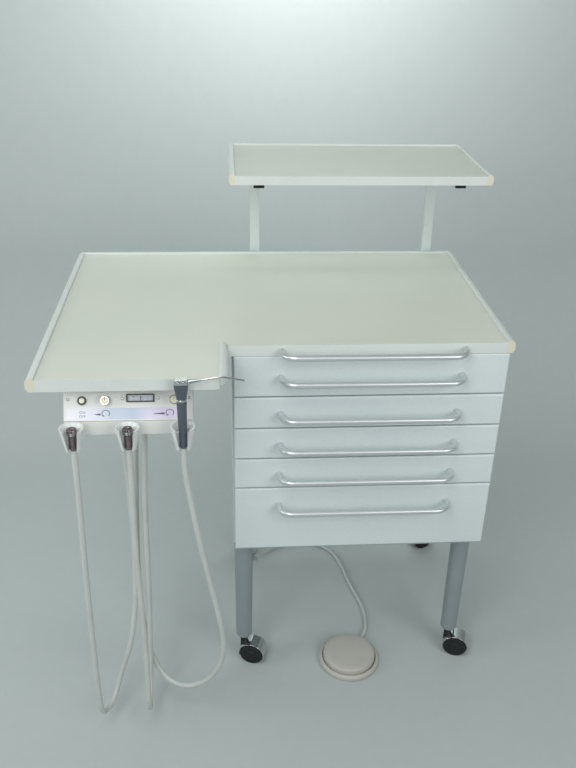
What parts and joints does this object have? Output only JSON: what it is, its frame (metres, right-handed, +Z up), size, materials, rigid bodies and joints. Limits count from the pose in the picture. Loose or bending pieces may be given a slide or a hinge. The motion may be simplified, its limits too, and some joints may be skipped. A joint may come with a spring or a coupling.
{
  "type": "podiatry cart unit",
  "caption": "Wheeled treatment cart with drawers, an L-shaped worktop, a raised shelf, handpieces on hoses under a control panel, and a foot control.",
  "frame": {"origin": "on the floor, at the middle of the outline of the whole unit with its foot control and without its free hoses", "axes": "+Z up; the drawers and the control panel face -Y; +X to the right seen from the front"},
  "size_m": [0.9295, 0.7022, 1.132],
  "materials": {
    "worktop_laminate": "satin white laminate",
    "white_edging": "smooth white edging",
    "white_board": "satin white laminate",
    "grey_board": "light grey laminate",
    "drawer_metal": "satin light grey powder coat",
    "runner_steel": "zinc plated",
    "leg_metal": "satin silver grey paint",
    "satin_aluminium": "satin anodised",
    "black_plastic": "matte black",
    "bright_chrome": "polished",
    "dark_chrome": "dark polished",
    "white_metal": "satin warm white paint",
    "white_plastic": "smooth white",
    "cream_plastic": "glossy cream",
    "dial_plastic": "pale blue grey",
    "needle_red": "red paint",
    "slate_blue": "satin slate blue",
    "hose_rubber": "smooth light grey",
    "pedal_plastic": "matte warm grey"
  },
  "bodies": {
    "cabinet": {"arm_caps": "black_plastic", "base_panel": "grey_board", "carcass_panels": "white_board", "control_housing": "white_metal", "control_panel": "white_metal", "drawer_runners": "runner_steel", "gauge_case": "dial_plastic", "handpiece_holders": "white_plastic", "holder_bar": "white_edging", "hose_glands": "black_plastic", "hose_left": "hose_rubber", "hose_middle": "hose_rubber", "hose_right": "hose_rubber", "legs": "leg_metal", "panel_bezels": "black_plastic", "panel_screws": "bright_chrome", "pedal_base": "pedal_plastic", "pedal_tube": "hose_rubber", "push_handle": "satin_aluminium", "shelf_board": "worktop_laminate", "shelf_frame": "satin_aluminium", "shelf_rim": "white_edging", "valve_block": "satin_aluminium", "worktop_board": "worktop_laminate", "worktop_rim": "white_edging"},
    "drawer_1": {"drawer_1_front": "white_board", "drawer_1_box": "drawer_metal", "drawer_1_handle": "satin_aluminium"},
    "drawer_2": {"drawer_2_front": "white_board", "drawer_2_box": "drawer_metal", "drawer_2_handle": "satin_aluminium"},
    "drawer_3": {"drawer_3_front": "white_board", "drawer_3_box": "drawer_metal", "drawer_3_handle": "satin_aluminium"},
    "drawer_4": {"drawer_4_front": "white_board", "drawer_4_box": "drawer_metal", "drawer_4_handle": "satin_aluminium"},
    "drawer_5": {"drawer_5_front": "white_board", "drawer_5_box": "drawer_metal", "drawer_5_handle": "satin_aluminium"},
    "caster_front_left": {"caster_front_left_hood": "bright_chrome"},
    "wheels_front_left": {"caster_front_left_wheels": "black_plastic"},
    "caster_front_right": {"caster_front_right_hood": "bright_chrome"},
    "wheels_front_right": {"caster_front_right_wheels": "black_plastic"},
    "caster_rear_left": {"caster_rear_left_hood": "bright_chrome"},
    "wheels_rear_left": {"caster_rear_left_wheels": "black_plastic"},
    "caster_rear_right": {"caster_rear_right_hood": "bright_chrome"},
    "wheels_rear_right": {"caster_rear_right_wheels": "black_plastic"},
    "pedal": {"pedal_disc": "pedal_plastic"},
    "power": {"power_button": "cream_plastic"},
    "air_dial": {"air_knob": "cream_plastic"},
    "speed_dial": {"speed_knob": "cream_plastic"},
    "gauge_pointer": {"gauge_needle": "needle_red"},
    "handpiece_left": {"connector_left": "dark_chrome"},
    "handpiece_middle": {"connector_middle": "dark_chrome"},
    "syringe": {"syringe_body": "slate_blue", "syringe_head": "bright_chrome"},
    "nozzle": {"syringe_nozzle": "bright_chrome"},
    "air_button": {"syringe_air_button": "bright_chrome"},
    "water_button": {"syringe_water_button": "bright_chrome"}
  },
  "joints": [
    {"name": "drawer_1_slide", "type": "slide", "parent": "cabinet", "child": "drawer_1", "axis": [0, -1, 0], "range_m": [0, 0.36]},
    {"name": "drawer_2_slide", "type": "slide", "parent": "cabinet", "child": "drawer_2", "axis": [0, -1, 0], "range_m": [0, 0.36]},
    {"name": "drawer_3_slide", "type": "slide", "parent": "cabinet", "child": "drawer_3", "axis": [0, -1, 0], "range_m": [0, 0.36]},
    {"name": "drawer_4_slide", "type": "slide", "parent": "cabinet", "child": "drawer_4", "axis": [0, -1, 0], "range_m": [0, 0.36]},
    {"name": "drawer_5_slide", "type": "slide", "parent": "cabinet", "child": "drawer_5", "axis": [0, -1, 0], "range_m": [0, 0.36]},
    {"name": "caster_front_left_swivel", "type": "hinge", "parent": "cabinet", "child": "caster_front_left", "pos_m": [-0.08674, -0.10791, 0.076], "axis": [0, 0, 1], "continuous": true},
    {"name": "wheels_front_left_roll", "type": "hinge", "parent": "caster_front_left", "child": "wheels_front_left", "pos_m": [-0.06582, -0.1147, 0.0284], "axis": [0.309, 0.9511, 0], "continuous": true},
    {"name": "caster_front_right_swivel", "type": "hinge", "parent": "cabinet", "child": "caster_front_right", "pos_m": [0.40926, -0.10791, 0.076], "axis": [0, 0, 1], "continuous": true},
    {"name": "wheels_front_right_roll", "type": "hinge", "parent": "caster_front_right", "child": "wheels_front_right", "pos_m": [0.4303, -0.11434, 0.0284], "axis": [0.2924, 0.9563, 0], "continuous": true},
    {"name": "caster_rear_left_swivel", "type": "hinge", "parent": "cabinet", "child": "caster_rear_left", "pos_m": [-0.08674, 0.28909, 0.076], "axis": [0, 0, 1], "continuous": true},
    {"name": "wheels_rear_left_roll", "type": "hinge", "parent": "caster_rear_left", "child": "wheels_rear_left", "pos_m": [-0.0726, 0.27224, 0.0284], "axis": [0.766, 0.6428, 0], "continuous": true},
    {"name": "caster_rear_right_swivel", "type": "hinge", "parent": "cabinet", "child": "caster_rear_right", "pos_m": [0.40926, 0.28909, 0.076], "axis": [0, 0, 1], "continuous": true},
    {"name": "wheels_rear_right_roll", "type": "hinge", "parent": "caster_rear_right", "child": "wheels_rear_right", "pos_m": [0.42993, 0.29662, 0.0284], "axis": [-0.342, 0.9397, 0], "continuous": true},
    {"name": "pedal_press", "type": "slide", "parent": "cabinet", "child": "pedal", "axis": [0, 0, -1], "range_m": [0, 0.005], "stiffness_N_per_m": 3000, "springref_m": -0.004},
    {"name": "power_button_press", "type": "slide", "parent": "cabinet", "child": "power", "axis": [0, 0.8829, -0.4695], "range_m": [0, 0.003], "stiffness_N_per_m": 300, "springref_m": -0.003},
    {"name": "air_knob_turn", "type": "hinge", "parent": "cabinet", "child": "air_dial", "pos_m": [-0.33474, -0.28807, 0.81855], "axis": [0, -0.8829, 0.4695], "range_deg": [-135, 135]},
    {"name": "speed_knob_turn", "type": "hinge", "parent": "cabinet", "child": "speed_dial", "pos_m": [-0.21274, -0.28807, 0.81855], "axis": [0, -0.8829, 0.4695], "range_deg": [-135, 135]},
    {"name": "gauge_needle_turn", "type": "hinge", "parent": "cabinet", "child": "gauge_pointer", "pos_m": [-0.27324, -0.29069, 0.80466], "axis": [0, 0.8829, -0.4695], "range_deg": [-32, 32], "stiffness_Nm_per_rad": 0.002},
    {"name": "handpiece_left_lift", "type": "slide", "parent": "cabinet", "child": "handpiece_left", "axis": [0, 0, 1], "range_m": [0, 0.06]},
    {"name": "handpiece_middle_lift", "type": "slide", "parent": "cabinet", "child": "handpiece_middle", "axis": [0, 0, 1], "range_m": [0, 0.06]},
    {"name": "syringe_lift", "type": "slide", "parent": "cabinet", "child": "syringe", "axis": [0, 0, 1], "range_m": [0, 0.06]},
    {"name": "nozzle_swivel", "type": "hinge", "parent": "syringe", "child": "nozzle", "pos_m": [-0.18514, -0.33291, 0.877], "axis": [0.9875, 0, 0.1576], "continuous": true},
    {"name": "syringe_air_press", "type": "slide", "parent": "syringe", "child": "air_button", "axis": [0, 1, 0], "range_m": [0, 0.0025], "stiffness_N_per_m": 250, "springref_m": -0.002},
    {"name": "syringe_water_press", "type": "slide", "parent": "syringe", "child": "water_button", "axis": [0, 1, 0], "range_m": [0, 0.0025], "stiffness_N_per_m": 250, "springref_m": -0.002}
  ]
}
